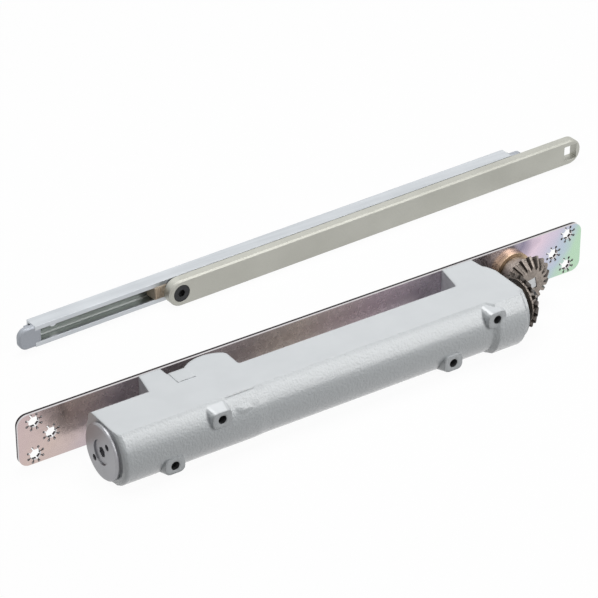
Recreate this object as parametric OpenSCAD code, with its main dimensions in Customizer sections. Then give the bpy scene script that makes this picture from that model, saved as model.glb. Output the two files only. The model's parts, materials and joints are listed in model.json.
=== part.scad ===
// Concealed door closer with its slide-track arm, lying on its side.
// +X runs along the plate towards the gears, +Y is the plate's outer side
// (up, in a fitted door) and +Z is across the door's thickness.
// The origin is on the spindle's axis, at the plate's outer face.

/* [Plate] */
// Length of the mounting plate
plate_len = 367; // [350:1:390]
// Width of the mounting plate
plate_w = 31; // [31:0.5:36]
// Thickness of the mounting plate
plate_t = 2.5; // [2.4:0.1:4]
// Radius of the plate's corners
plate_corner = 6; // [2:0.5:8]
// Spindle axis to the plate's gear end
gear_end = 50; // [46:1:60]
// Plate end to the outer pair of star holes
star_inset = 9.7; // [8:0.1:11]
// Outer pair to the middle star hole, along the plate
star_step = 9.8; // [9:0.1:13]
// Distance between the two holes of the outer pair
star_pitch = 20.2; // [16:0.1:21]
// Diameter of a star hole's round core
star_core = 6.4; // [5:0.1:7]
// Radius at which the star's rays end
star_reach = 4.7; // [4:0.1:5]
// Width of a star ray
star_ray = 1.5; // [1:0.1:1.8]

/* [Housing] */
// Plate's inner face to the body axis
axis_depth = 30; // [29:0.5:34]
// Width across the housing's two flats
body_w = 32; // [31:0.5:34]
// Diameter of the housing's round nose
body_d = 39; // [38:0.2:42]
// Diameter of the wider spring chamber
chamber_d = 39.8; // [39:0.2:43]
// Length of the wider spring chamber
chamber_len = 82.5; // [60:0.5:85]
// Length of the housing
housing_len = 258.5; // [250:0.5:270]
// Spindle axis to the housing's gear end
housing_gap = 24; // [23:0.5:26]
// Length of the head block at the gear end
head_len = 23.5; // [20:0.5:28]
// Diameter of the head block
head_d = 44; // [42:0.5:46]
// Chamfer on the head block's end
head_chamfer = 4; // [1:0.5:5]
// Diameter of the cylinder bore
bore_d = 27; // [26:0.2:28]
// Depth of the left tail below the plate
tail_depth = 12.8; // [10:0.2:15]
// Rounding of the left tail's edges
tail_round = 4.7; // [1:0.1:6]
// Depth of the short notch below the plate
notch_depth = 7.2; // [4:0.2:10]
// Left end of the housing to the first pad
pad_from = 34.5; // [30:0.5:40]
// Length of the first pad on the plate
pad_len = 13; // [12:0.5:16]
// Length of the short notch
notch_len = 9.9; // [6:0.1:12]
// Length of the valve hump
hump_len = 27.4; // [26:0.2:32]
// Gap between the valve hump and the plate
hump_gap = 1.6; // [0.5:0.1:3]
// Length of the gear-end pad on the plate
head_pad_len = 20; // [16:0.5:22]
// Housing's gear end to the gear-end pad
head_pad_from = 4.6; // [3:0.2:8]
// Sideways slope of a pad's wall
pad_slope = 3.5; // [0:0.5:5]

/* [Lugs] */
// Left end of the housing to the first lug hole
lug_from = 29.4; // [24:0.2:34]
// Lengthwise step from a low lug to the next high one
lug_step = 29; // [20:0.5:34]
// Lengthwise distance between the two pairs of lugs
lug_span = 177; // [160:1:190]
// Sideways offset of the lug holes from the body axis
lug_side = 8.9; // [7:0.1:10]
// Body axis to the lug faces
lug_reach = 20.3; // [20:0.1:22]
// Length of a lug
lug_len = 11.8; // [10:0.2:14]
// Width of a lug
lug_w = 9.4; // [9:0.2:11]
// Diameter of a lug's threaded hole
lug_hole_d = 5; // [3:0.1:5.4]
// Depth of a lug's threaded hole
lug_hole_deep = 5; // [3:0.5:5.5]
// Slope of a lug's walls, in millimetres from its face to its root
lug_draft = 2; // [0:0.2:2.6]

/* [Gears] */
// Number of teeth on each mitre gear
gear_teeth = 18; // [14:2:24]
// Pitch radius of each mitre gear at the large end
gear_pitch_r = 15.1; // [14.2:0.1:15.4]
// Depth of the toothed cone along the gear's axis
gear_face = 5.2; // [3.5:0.1:5.8]
// Spindle gear's set-back from the point where the axes cross
spindle_gear_back = 0.5; // [0:0.1:0.6]
// Shaft gear's set-back from the point where the axes cross
shaft_gear_back = 1.3; // [0:0.1:1.4]
// Gap left between meshing flanks
gear_backlash = 0.3; // [0.2:0.05:0.5]
// Square on the spindle's inner end
gear_square = 7; // [6.5:0.1:8]
// Turn of that square against the gear's teeth
gear_square_turn = 5; // [0:5:85]
// Turn of the spindle and its gears, as they rest
gear_turn = 5; // [0:1:20]
// Diameter of the spindle gear's hub
spindle_hub_d = 19; // [16:0.5:22]

/* [Spindle] */
// Diameter of the spindle where it turns in its bush
spindle_d = 15; // [14:0.2:16]
// Square on the spindle's outer end
drive_square = 9.2; // [8:0.1:9.4]
// Height of the outer square above the plate
drive_height = 5.4; // [5:0.1:7]
// Diameter of the threaded hole in the spindle's outer end
drive_hole_d = 5; // [4:0.1:6]
// Depth of that threaded hole
drive_hole_deep = 14; // [10:0.5:16]
// Diameter of the bush's flange under the plate
bush_flange_d = 23.5; // [22:0.5:28]
// Thickness of the bush's flange
bush_flange_t = 3; // [2:0.1:4]

/* [Inside] */
// Turn of the spindle from shut to wide open, in degrees
open_angle = 120; // [90:5:125]
// Piston travel for one whole turn of the cam
cam_lead = 60; // [50:1:66]
// Diameter of the cam drum
drum_d = 19.2; // [18:0.2:20]
// Radius of a cam roller
roller_r = 3.2; // [2.8:0.1:3.4]
// Radius of a guide pin
pin_r = 1.8; // [1.2:0.1:2]
// Thickness of the main spring's wire
wire_d = 4.4; // [3.5:0.1:4.6]
// Number of the main spring's turns
spring_turns = 15; // [10:1:16]
// Thickness of the end plug's flange
plug_flange = 3; // [2.6:0.1:5]
// Diameter of the adjusting screw's head
adjuster_d = 14; // [12:0.2:15]
// Size of the adjusting screw's hexagon socket
adjuster_hex = 5.4; // [4:0.1:6]
// Number of balls in the thrust bearing
ball_count = 12; // [8:1:13]

/* [Arm set] */
// Arm's square hole to its pivot
arm_len = 284.5; // [270:0.5:300]
// Width of the arm
arm_w = 16.4; // [15:0.1:18]
// Thickness of the arm
arm_t = 5.8; // [5:0.1:7]
// Bevel along the arm's front edges
arm_bevel = 0.9; // [0.3:0.1:1.5]
// Square hole for the spindle
arm_square = 9.5; // [9.5:0.1:10.5]
// Length of the track between its end caps
track_len = 336; // [320:1:360]
// Height of the track
track_h = 13.2; // [12.4:0.1:14]
// Depth of the track, front to back
track_d = 9.1; // [8.6:0.1:11]
// Wall of the track
track_wall = 1.4; // [1:0.1:1.6]
// Height of the track's front slot
slot_h = 7.8; // [7:0.1:8.4]
// Arm's front face to the track's front face
track_back = 8.5; // [8.2:0.1:10]
// Track's left end to the pivot, as it lies
slider_from = 91; // [30:1:300]
// Length of the slider
slider_len = 26; // [20:0.5:34]
// How far an end cap stands out of the track
cap_out = 10.2; // [8:0.1:14]
// Thickness of an end cap's front tab
cap_t = 3.2; // [2.4:0.1:4.4]
// Bevel round an end cap's front tab
cap_bevel = 0.8; // [0.3:0.1:1.2]
// The rounding of the end caps' corners
cap_round = 5.2; // [4:0.1:6]
// Track's end to its fixing hole
track_hole_from = 16; // [14:0.5:24]
// Diameter of the track's fixing holes
track_hole_d = 5.4; // [4:0.1:6]
// Turn of the arm set against the closer, as both lie
arm_set_turn = 2; // [0:0.5:4]
// Arm's pivot from the spindle axis, along the plate
arm_set_x = -162; // [-180:1:-140]
// Arm's front face behind the plate's outer face
arm_set_y = 88.8; // [80:0.2:110]

/* [Hidden] */
// Running clearance on a radius
run_gap = 0.05;
// Clearance between faces that pass each other
side_gap = 0.1;
// Clearance of flat pieces that only lie against each other
lay_gap = 0.02;
// Overshoot of a cut past the face that it opens
cut = 1;
$fn = 72;

plate_r = gear_end;
plate_l = gear_end - plate_len;
plate_in = -plate_t;
axis_y = plate_in - axis_depth;
floor_z = -max(plate_w, body_w) / 2;
house_r = -housing_gap;
house_l = house_r - housing_len;
bore_r = bore_d / 2;

// Pieces of the gear end, measured back from the housing's end
seal_bore_r = 11;
seal_bore_deep = 14;
seal_t = 6;
seal_from = 7;
clip_t = 1.2;
clip_from = 5.4;
clip_r = 11.7;
wall_deep = 30;
bush_out_r = 9;
shaft_r = 7;
race_t = 1.5;
ball_r = 2;
ball_ring_r = 9.6;
thrust_len = 2 * race_t + 2 * ball_r + 4 * lay_gap;
collar_t = 6;
collar_r = 10.2;
drum_len = 42;
drum_r = drum_d / 2;
drum_end = wall_deep + thrust_len + collar_t;
core_r = 4.8;
pin_from = drum_end + 12;
piston_travel = cam_lead * open_angle / 360;
skirt_end = pin_from - 8;
skirt_r = drum_r + 0.6;
piston_r = bore_r - run_gap;
crown_from = drum_end + drum_len + 8;
crown_t = 15;
roller_in = drum_r - 2.8;
roller_out = drum_r - 0.4;
groove_floor = roller_in - 0.4;
pin_out = bore_r + 1.1;

// Pieces of the spring end, measured from the housing's left end
plug_d = body_w;
plug_rim = 1.7;
plug_in = 12;
plug_gland_d = 2.4;
shank_r = 4;
adjuster_sunk = 0.9;
adjuster_head = 3.1;
plug_pin_r = 1.8;
plug_pin_ring = 9.4;
seat_from = 27;
seat_t = 6;
seat_nose = 6;
seat_tail = 4;
seat_r = bore_r - 0.6;
coil_r = bore_r - 1 - wire_d / 2;
spring_l = house_l + seat_from + seat_t + side_gap;
spring_r = house_r - crown_from - crown_t - side_gap;

// Screws that hold the plate on the housing
house_screw_r = 2.5;
house_screw_head = 4.6;
house_screw_side = 9;
house_screw_len = 12;

// Regulating valves in the hump
valve_r = 2.9;
valve_len = 10.5;
valve_step = 12;
duct_r = 0.9;
hump_r = 21;
hump_round = 4;
foot_round = 2;

// Casting marks: a shallow raised square below the notch, and the nose end's rounding
cast_square = 11;
cast_rise = 0.3;
nose_round = 2.6;
taper_len = 6;
head_slope = 1.6;

// Lugs: where they start, from the body axis, and their corner radius
lug_root = 10;
lug_corner = 3;

// Mitre gears: the tooth form is an involute on the back cone
gear_module = 2 * gear_pitch_r / gear_teeth;
gear_add = 0.7 * gear_module;
gear_ded = 0.95 * gear_module;
cone_r = gear_pitch_r * sqrt(2);
cone_teeth = gear_teeth * sqrt(2);
base_r = cone_r * cos(20);
gear_front = gear_pitch_r - gear_face;
gear_back = gear_pitch_r + gear_ded * sin(45);
gear_rim_r = gear_pitch_r - gear_ded * cos(45) - 0.3;
flank_steps = 5;
shaft_hub_r = 9.5;
shaft_hub_len = 4;
shaft_tip_r = 5;
key_w = 3;
key_from = 3;
gear_thread_r = 2;
gear_thread_deep = 12;
gear_washer_r = 6;

// Arm set, in its own frame: along the arm, back from its front face, up
arm_set_z = floor_z + arm_w / 2;
pivot_head_r = 5.2;
pivot_head_t = 3;
pivot_shoulder_r = 4;
pivot_thread_r = 2.5;
arm_bush_r = 5;
pivot_washer_r = 6.4;
washer_t = track_back - arm_t - 0.6;
slider_front = track_back - 0.5;
track_l = -slider_from;
track_r = track_len - slider_from;
channel_top = track_h / 2 - track_wall;
track_rear = track_back + track_d;
channel_rear = track_rear - track_wall;
cap_tongue = 3.4;
cap_root = 3;
channel_deep = track_d - 2 * (track_wall + side_gap);
cap_play = 0.8;
slider_play = 0.9;
insert_r = 3.6;
insert_play = 0.3;
weld = 0.5;

silver = [0.86, 0.88, 0.9];
grey = [0.66, 0.68, 0.7];
zinc = [0.66, 0.6, 0.62];
sintered = [0.52, 0.48, 0.44];
steel = [0.62, 0.63, 0.65];
bronze = [0.72, 0.6, 0.42];
black = [0.12, 0.12, 0.13];
champagne = [0.68, 0.68, 0.64];
beige = [0.82, 0.75, 0.64];
amber = [0.55, 0.3, 0.12];

// Round bar on the body axis
module bar_x(from, to, r) {
    translate([from, axis_y, 0]) rotate([0, 90, 0]) cylinder(h = to - from, r = r);
}

// Tube on the body axis
module tube_x(from, to, r, hole_r) {
    difference() {
        bar_x(from, to, r);
        bar_x(from - cut, to + cut, hole_r);
    }
}

// Round bar across the body, along Y
module bar_y(x, from, to, r, z = 0) {
    translate([x, from, z]) rotate([-90, 0, 0]) cylinder(h = to - from, r = r);
}

// Ring of round section on the body axis
module ring_x(x, r, section_r) {
    translate([x, axis_y, 0]) rotate([0, 90, 0])
        rotate_extrude() translate([r, 0]) circle(r = section_r, $fn = 24);
}

// Ring of round section on an axis along Y
module ring_y(x, y, r, section_r) {
    translate([x, y, 0]) rotate([-90, 0, 0])
        rotate_extrude() translate([r, 0]) circle(r = section_r, $fn = 24);
}

// Hexagon bar along its own Z, by its size across the flats
module hex_bar(flats, h) {
    cylinder(h = h, r = flats / 2 / cos(30), $fn = 6);
}

// Flat rectangle with round corners, centred
module round_rect(w, h, r) {
    square([w - 2 * r, h], center = true);
    square([w, h - 2 * r], center = true);
    for (x = [-1, 1], y = [-1, 1])
        translate([x * (w / 2 - r), y * (h / 2 - r)]) circle(r = r, $fn = 36);
}

// Circlip lying in the XY plane: a ring with a gap
module clip(r_in, r_out, t) {
    difference() {
        cylinder(h = t, r = r_out);
        translate([0, 0, -cut]) cylinder(h = t + 2 * cut, r = r_in);
        translate([0, -1.2, -cut]) cube([r_out + cut, 2.4, t + 2 * cut]);
    }
}

// Places of the six star holes, as [x, z]
function star_places() = [
    for (end = [-1, 1], hole = [-1, 0, 1])
        let (edge = end < 0 ? plate_l : plate_r)
        [edge - end * (star_inset + (hole == 0 ? star_step : 0)), hole * star_pitch / 2]
];

// Places of the four screws that hold the housing, as [x, z]
function house_screw_places() = [
    for (x = [house_l + pad_from + pad_slope + pad_len / 2 - 0.3,
              house_r - head_pad_from - head_pad_len / 2], side = [-1, 1])
        [x, side * house_screw_side]
];

// Places of the two valves along the hump
function valve_x(side) = house_l + pad_from + pad_slope + pad_len + notch_len
    + hump_len / 2 + side * valve_step / 2;

module star_hole() {
    circle(d = star_core);
    for (i = [0 : 7]) rotate(i * 45) {
        translate([0, -star_ray / 4]) square([star_reach, star_ray / 2]);
        translate([star_reach, 0]) circle(d = star_ray, $fn = 24);
    }
}

module mounting_plate() {
    color(zinc) difference() {
        translate([(plate_l + plate_r) / 2, 0, 0]) rotate([90, 0, 0])
            linear_extrude(plate_t) round_rect(plate_len, plate_w, plate_corner);
        for (p = star_places())
            translate([p[0], cut, p[1]]) rotate([90, 0, 0])
                linear_extrude(plate_t + 2 * cut) rotate(22.5) star_hole();
        for (p = house_screw_places()) {
            bar_y(p[0], plate_in - cut, cut, house_screw_r + side_gap, p[1]);
            translate([p[0], plate_in + 0.2, p[1]]) rotate([-90, 0, 0])
                cylinder(h = plate_t - 0.2, r1 = house_screw_r + side_gap,
                    r2 = house_screw_head + side_gap);
        }
        for (side = [-1, 1]) bar_y(valve_x(side), plate_in - cut, cut, valve_r + 0.5);
        bar_y(0, plate_in - cut, cut, spindle_d / 2 + 2 + run_gap);
    }
}

// Round bar with two flats, along the body axis
module double_d(from, to, d) {
    intersection() {
        bar_x(from, to, d / 2);
        translate([from, axis_y - d / 2, -body_w / 2]) cube([to - from, d, body_w]);
    }
}

// Slope from the wider spring chamber to the body
module chamber_taper() {
    intersection() {
        translate([house_l + chamber_len, axis_y, 0]) rotate([0, 90, 0])
            cylinder(h = taper_len, r1 = chamber_d / 2, r2 = body_d / 2);
        translate([house_l, axis_y - chamber_d, -body_w / 2]) cube([housing_len, 2 * chamber_d, body_w]);
    }
}

// What is taken off the nose's left end to round it
module nose_rounding() {
    translate([house_l, axis_y, 0]) rotate([0, 90, 0]) rotate([0, 0, 180])
        rotate_extrude(angle = 180) polygon([
            [chamber_d / 2 - nose_round, -cut],
            [chamber_d / 2 - nose_round, 0],
            [chamber_d / 2 - nose_round * 0.4, nose_round * 0.2],
            [chamber_d / 2 - nose_round * 0.1, nose_round * 0.6],
            [chamber_d / 2 + 0.01, nose_round],
            [chamber_d / 2 + cut, nose_round],
            [chamber_d / 2 + cut, -cut]
        ]);
}

module head_block() {
    intersection() {
        union() {
            translate([house_r - head_len - head_slope, axis_y, 0]) rotate([0, 90, 0])
                cylinder(h = 2 * head_slope, r1 = body_d / 2, r2 = head_d / 2);
            bar_x(house_r - head_len + head_slope, house_r - head_chamfer, head_d / 2);
            translate([house_r - head_chamfer, axis_y, 0]) rotate([0, 90, 0])
                cylinder(h = head_chamfer, r1 = head_d / 2, r2 = head_d / 2 - head_chamfer);
        }
        translate([house_r - head_len - head_slope, axis_y - head_d, -body_w / 2])
            cube([head_len + head_slope, 2 * head_d, body_w]);
    }
}

// Side view of everything between the body axis and the plate
module pads_outline() {
    pad_l = house_l + pad_from;
    pad_r = pad_l + pad_slope + pad_len;
    hump_l = pad_r + notch_len;
    hump_r_end = hump_l + hump_len;
    head_pad_r = house_r - head_pad_from;
    head_pad_l = head_pad_r - head_pad_len;
    polygon([
        [pad_l - 3, axis_y],
        [pad_l - 3, plate_in - tail_depth - tail_round],
        [pad_l, plate_in - tail_depth - tail_round],
        [pad_l + pad_slope, plate_in - lay_gap],
        [pad_r, plate_in - lay_gap],
        [pad_r + 0.2, plate_in - notch_depth + 0.8],
        [pad_r + 1, plate_in - notch_depth],
        [hump_l, plate_in - notch_depth],
        [hump_l, axis_y],
        [head_pad_l - pad_slope, axis_y],
        [head_pad_l - pad_slope, plate_in - hump_gap - hump_r * 0.8],
        [head_pad_l, plate_in - lay_gap],
        [head_pad_r, plate_in - lay_gap],
        [head_pad_r + 1, plate_in - 9.4],
        [house_r - 2, plate_in - 11.4],
        [house_r, plate_in - 17],
        [house_r, axis_y]
    ]);
    hump_mid = [hump_l + hump_len * 0.53, plate_in - hump_gap - hump_r];
    reach = hump_r_end - hump_round - hump_mid[0];
    round_mid = [hump_r_end - hump_round, hump_mid[1] + sqrt(pow(hump_r - hump_round, 2) - reach * reach)];
    turn = acos(reach / (hump_r - hump_round));
    start = acos((hump_l - hump_mid[0]) / hump_r);
    polygon(concat(
        [[hump_l, axis_y]],
        [for (i = [0 : 10]) let (a = start + (turn - start) * i / 10) hump_mid + hump_r * [cos(a), sin(a)]],
        [for (i = [1 : 4]) let (a = turn * (1 - i / 4)) round_mid + hump_round * [cos(a), sin(a)]],
        [[hump_r_end, axis_y]]
    ));
    back = axis_y + sqrt(pow(body_d, 2) - pow(body_w, 2)) / 2 - 0.4;
    translate([hump_r_end, back]) foot_fillet(foot_round);
    translate([head_pad_l - pad_slope, back]) mirror([1, 0]) foot_fillet(foot_round);
}

// Hollow corner between a floor and a wall on its left
module foot_fillet(r) {
    arc = [for (a = [0 : 22.5 : 90]) [r - r * sin(a), r - r * cos(a)]];
    polygon(concat([[-cut, -cut], [r, -cut]], arc, [[-cut, r]]));
}

// Left tail: the body's section there, with rounded edges on the plate side
module tail() {
    top = axis_depth - tail_depth;
    translate([house_l, axis_y, 0]) rotate([90, 0, 90]) linear_extrude(pad_from + 1) {
        translate([0, -body_w / 2]) square([top - tail_round, body_w]);
        translate([0, tail_round - body_w / 2]) square([top, body_w - 2 * tail_round]);
        for (side = [-1, 1])
            translate([top - tail_round, side * (body_w / 2 - tail_round)]) circle(r = tail_round);
    }
}

// Corner points of a rounded rectangle, counted round from the right side
function rounded_points(w, h, r) = [
    for (corner = [0 : 3], step = [0 : 3])
        let (a = corner * 90 + step * 30,
             side_x = corner == 0 || corner == 3 ? 1 : -1, side_y = corner < 2 ? 1 : -1)
        [side_x * (w / 2 - r) + r * cos(a), side_y * (h / 2 - r) + r * sin(a)]
];

// Lug with a threaded hole, on the nose side, its walls sloped as cast
module lug(x, side) {
    face = rounded_points(lug_len, lug_w, lug_corner);
    root = rounded_points(lug_len + 2 * lug_draft, lug_w + 2 * lug_draft, lug_corner);
    n = len(face);
    translate([x, axis_y - lug_reach, side * lug_side]) rotate([-90, 0, 0]) polyhedron(
        concat([for (p = face) [p[0], p[1], 0]], [for (p = root) [p[0], p[1], lug_reach - lug_root]]),
        concat(
            [for (i = [1 : n - 2]) [0, i, i + 1]],
            [for (i = [1 : n - 2]) [n, n + i + 1, n + i]],
            [for (i = [0 : n - 1]) [i, n + i, (i + 1) % n]],
            [for (i = [0 : n - 1]) [(i + 1) % n, n + i, n + (i + 1) % n]]
        )
    );
}

function lug_places() = [
    for (pair = [0, 1], side = [-1, 1])
        [house_l + lug_from + pair * lug_span + (side > 0 ? lug_step : 0), side]
];

module housing() {
    color(silver) difference() {
        union() {
            double_d(house_l, house_l + chamber_len, chamber_d);
            chamber_taper();
            translate([house_l + pad_from + pad_slope + pad_len + 1, axis_y + 13, body_w / 2 - 1])
                cube([cast_square, cast_square - 1, 1 + cast_rise]);
            double_d(house_l + chamber_len - cut, house_r, body_d);
            head_block();
            tail();
            translate([0, 0, -body_w / 2]) linear_extrude(body_w) pads_outline();
            intersection() {
                for (p = lug_places()) lug(p[0], p[1]);
                translate([house_l, axis_y - lug_reach - cut, -body_w / 2])
                    cube([housing_len, lug_reach, body_w]);
            }
        }
        nose_rounding();
        bar_x(house_l - cut, house_r - wall_deep, bore_r);
        bar_x(house_r - wall_deep - cut, house_r, bush_out_r + run_gap);
        bar_x(house_r - seal_bore_deep, house_r + cut, seal_bore_r);
        bar_x(house_r - clip_from - clip_t - side_gap, house_r - clip_from + side_gap, clip_r + side_gap);
        translate([house_r - pin_from - piston_travel - pin_r - 2,
                   axis_y - pin_out - 0.3, -pin_r - side_gap])
            cube([piston_travel + 2 * pin_r + 4, 2 * pin_out + 0.6, 2 * (pin_r + side_gap)]);
        for (p = house_screw_places())
            bar_y(p[0], plate_in - house_screw_len, 0, house_screw_r + run_gap, p[1]);
        for (side = [-1, 1]) {
            bar_y(valve_x(side), plate_in - hump_gap - valve_len - side_gap, 0, valve_r + run_gap);
            bar_y(valve_x(side), axis_y, plate_in - hump_gap - valve_len, duct_r);
        }
        for (p = lug_places())
            bar_y(p[0], axis_y - lug_reach - cut, axis_y - lug_reach + lug_hole_deep,
                lug_hole_d / 2, p[1] * lug_side);
    }
}

module housing_screws() {
    color(steel) for (p = house_screw_places()) difference() {
        union() {
            bar_y(p[0], plate_in - house_screw_len + 1, -0.1, house_screw_r, p[1]);
            translate([p[0], plate_in + 0.4, p[1]]) rotate([-90, 0, 0])
                cylinder(h = plate_t - 0.5, r1 = house_screw_r, r2 = house_screw_head);
        }
        translate([p[0], -2.1, p[1]]) rotate([-90, 0, 0]) hex_bar(3, 3);
    }
}

module end_plug() {
    face = house_l - plug_flange;
    color(steel) difference() {
        union() {
            translate([face, axis_y, 0]) rotate([0, 90, 0])
                cylinder(h = 0.8, r1 = plug_d / 2 - 0.8, r2 = plug_d / 2);
            bar_x(face + 0.8, face + plug_rim, plug_d / 2);
            bar_x(face + plug_rim - lay_gap, house_l - lay_gap, plug_d / 2 - 1.2);
            bar_x(house_l - 1, house_l + plug_in, piston_r);
        }
        bar_x(face - cut, face + adjuster_sunk + adjuster_head + side_gap, adjuster_d / 2 + side_gap);
        bar_x(face, house_l + plug_in + cut, shank_r + run_gap);
        tube_x(house_l + 7, house_l + 7 + plug_gland_d + side_gap, bore_r + cut, bore_r - 1.9);
        bar_x(house_l + plug_in - 1.4, house_l + plug_in + cut, shank_r + 2.6);
        for (side = [-1, 1])
            translate([face - cut, axis_y - side * plug_pin_ring * cos(45), side * plug_pin_ring * sin(45)])
                rotate([0, 90, 0]) cylinder(h = cut + 2.6, r = plug_pin_r);
    }
}

module end_plug_ring() {
    color(black) ring_x(house_l + 7 + (plug_gland_d + side_gap) / 2, bore_r - 0.95, 0.9);
}

module adjusting_screw() {
    head = house_l - plug_flange + adjuster_sunk;
    ring = house_l + 3;
    color(grey) difference() {
        union() {
            bar_x(head, head + adjuster_head, adjuster_d / 2);
            bar_x(head, house_l + seat_from + seat_t + 10, shank_r);
        }
        translate([head - cut, axis_y, 0]) rotate([0, 90, 0]) hex_bar(adjuster_hex, cut + 2.8);
        tube_x(ring, ring + 1.6, shank_r + cut, shank_r - 1.05);
        tube_x(house_l + plug_in - 1.3, house_l + plug_in - 0.1, shank_r + cut, shank_r - 0.7);
    }
}

module adjusting_screw_ring() {
    color(black) ring_x(house_l + 3.8, shank_r - 0.5, 0.5);
}

module adjusting_screw_clip() {
    color(steel) translate([house_l + plug_in - 1.2, axis_y, 0]) rotate([0, 90, 0])
        clip(shank_r - 0.65, shank_r + 2, 1);
}

module spring_seat() {
    from = house_l + seat_from;
    color(steel) difference() {
        union() {
            bar_x(from, from + seat_t, seat_r);
            bar_x(from - seat_nose, from + seat_t + seat_tail, shank_r + 2.4);
        }
        bar_x(from - seat_nose - cut, from + seat_t + seat_tail + cut, shank_r + side_gap);
    }
}

// Centre line of the main spring: closed end turns and open turns between
spring_step = wire_d + 0.5;
spring_run = spring_r - spring_l - wire_d;
open_step = (spring_run - 2 * spring_step) / (spring_turns - 2);
function spring_x(t) = t < 1 ? t * spring_step
    : t > spring_turns - 1 ? spring_run - (spring_turns - t) * spring_step
    : spring_step + (t - 1) * open_step;
function spring_point(t) = [spring_l + wire_d / 2 + spring_x(t),
    axis_y + coil_r * cos(360 * t), coil_r * sin(360 * t)];
spring_rings = 16;
spring_sides = 8;
spring_count = spring_turns * spring_rings;
spring_gap = min([for (i = [spring_rings : spring_count])
    norm(spring_point(i / spring_rings) - spring_point(i / spring_rings - 1)) - wire_d]);
echo(spring_gap = spring_gap);

module main_spring() {
    points = [
        for (i = [0 : spring_count], k = [0 : spring_sides - 1])
            let (t = i / spring_rings, a = 360 * k / spring_sides + 22.5, r = coil_r + wire_d / 2 * cos(a))
            [spring_l + wire_d / 2 + spring_x(t) + wire_d / 2 * sin(a),
             axis_y + r * cos(360 * t), r * sin(360 * t)]
    ];
    last = spring_count * spring_sides;
    faces = concat(
        [[for (k = [0 : spring_sides - 1]) k]],
        [for (i = [0 : spring_count - 1], k = [0 : spring_sides - 1], half = [0, 1])
            let (a = i * spring_sides + k, b = i * spring_sides + (k + 1) % spring_sides)
            half == 0 ? [a, a + spring_sides, b + spring_sides] : [a, b + spring_sides, b]],
        [[for (k = [spring_sides - 1 : -1 : 0]) last + k]]
    );
    color(steel) polyhedron(points, faces);
}

module piston() {
    crown_l = house_r - crown_from - crown_t;
    ball_x = house_r - crown_from - 7;
    color(steel) difference() {
        bar_x(crown_l, house_r - skirt_end, piston_r);
        bar_x(house_r - crown_from, house_r - skirt_end + cut, skirt_r);
        tube_x(crown_l + 4, crown_l + 4 + 2.6, bore_r + cut, bore_r - 2.1);
        bar_y(house_r - pin_from, axis_y - bore_r - cut, axis_y + bore_r + cut, pin_r + lay_gap);
        bar_x(crown_l - cut, crown_l + crown_t + cut, 1.2);
        bar_x(ball_x - 2.1, house_r - crown_from + cut, 2.1);
    }
}

module piston_seal() {
    crown_l = house_r - crown_from - crown_t;
    color(black) tube_x(crown_l + 4.1, crown_l + 6.5, bore_r - 0.02, bore_r - 2.05);
}

module check_ball() {
    color(steel) translate([house_r - crown_from - 6.9, axis_y, 0]) sphere(r = 2);
}

module guide_pins() {
    color(steel) for (side = [-1, 1])
        translate([house_r - pin_from, axis_y, 0]) rotate([side > 0 ? -90 : 90, 0, 0])
            translate([0, 0, roller_in + 0.2]) cylinder(h = pin_out - roller_in - 0.2, r = pin_r);
}

module cam_roller(side) {
    color(steel) translate([house_r - pin_from, axis_y, 0]) rotate([side > 0 ? -90 : 90, 0, 0])
        translate([0, 0, roller_in]) difference() {
            cylinder(h = roller_out - roller_in, r = roller_r);
            translate([0, 0, -cut]) cylinder(h = roller_out - roller_in + 2 * cut, r = pin_r + run_gap);
        }
}

module cam_roller_plate_side() cam_roller(1);
module cam_roller_nose_side() cam_roller(-1);

// One helical groove of the cam, cut round the body axis
module cam_groove() {
    end_turn = 32;
    step = 4;
    count = ceil((open_angle + 2 * end_turn) / step);
    levels = [groove_floor, drum_r + 1];
    function half_w(r) = (roller_r + 0.25) * sqrt(1 + pow(cam_lead / (2 * PI * r), 2));
    points = [
        for (i = [0 : count], k = [0 : 3])
            let (a = end_turn - i * (open_angle + 2 * end_turn) / count,
                 r = levels[k == 1 || k == 2 ? 1 : 0],
                 x = house_r - pin_from + cam_lead * a / 360 + (k < 2 ? -1 : 1) * half_w(r))
            [x, axis_y + r * cos(a), r * sin(a)]
    ];
    faces = concat(
        [[0, 1, 2, 3]],
        [for (i = [0 : count - 1], k = [0 : 3], half = [0, 1])
            let (a = i * 4 + k, b = i * 4 + (k + 1) % 4)
            half == 0 ? [a, a + 4, b + 4] : [a, b + 4, b]],
        [[for (k = [3 : -1 : 0]) count * 4 + k]]
    );
    polyhedron(points, faces);
}

module cam_drum() {
    from = house_r - drum_end - drum_len;
    color(grey) difference() {
        bar_x(from, house_r - drum_end - lay_gap, drum_r);
        bar_x(from - cut, house_r, core_r + lay_gap);
        cam_groove();
        translate([0, axis_y, 0]) rotate([180, 0, 0]) translate([0, -axis_y, 0]) cam_groove();
    }
}

module cam_shaft() {
    tip = -shaft_gear_back - gear_front - 1;
    gear_seat = -shaft_gear_back - gear_back - shaft_hub_len;
    color(steel) difference() {
        union() {
            bar_x(house_r - drum_end - drum_len, house_r - drum_end, core_r);
            bar_x(house_r - drum_end, house_r - wall_deep - thrust_len, collar_r);
            bar_x(house_r - wall_deep - thrust_len - cut, gear_seat - lay_gap, shaft_r);
            bar_x(gear_seat - cut, tip, shaft_tip_r);
        }
        bar_x(tip - gear_thread_deep, tip + cut, gear_thread_r);
        translate([gear_seat + 0.5 - side_gap, axis_y + key_from, -key_w / 2 - lay_gap])
            cube([tip - gear_seat + cut, key_w + 1, key_w + 2 * lay_gap]);
    }
}

module thrust_race(from) {
    color(steel) difference() {
        bar_x(from, from + race_t, bore_r - 0.8);
        bar_x(from - cut, from + race_t + cut, shaft_r + side_gap);
    }
}

module thrust_race_shaft() thrust_race(house_r - wall_deep - thrust_len + lay_gap);
module thrust_race_housing() thrust_race(house_r - wall_deep - race_t - lay_gap);

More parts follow.
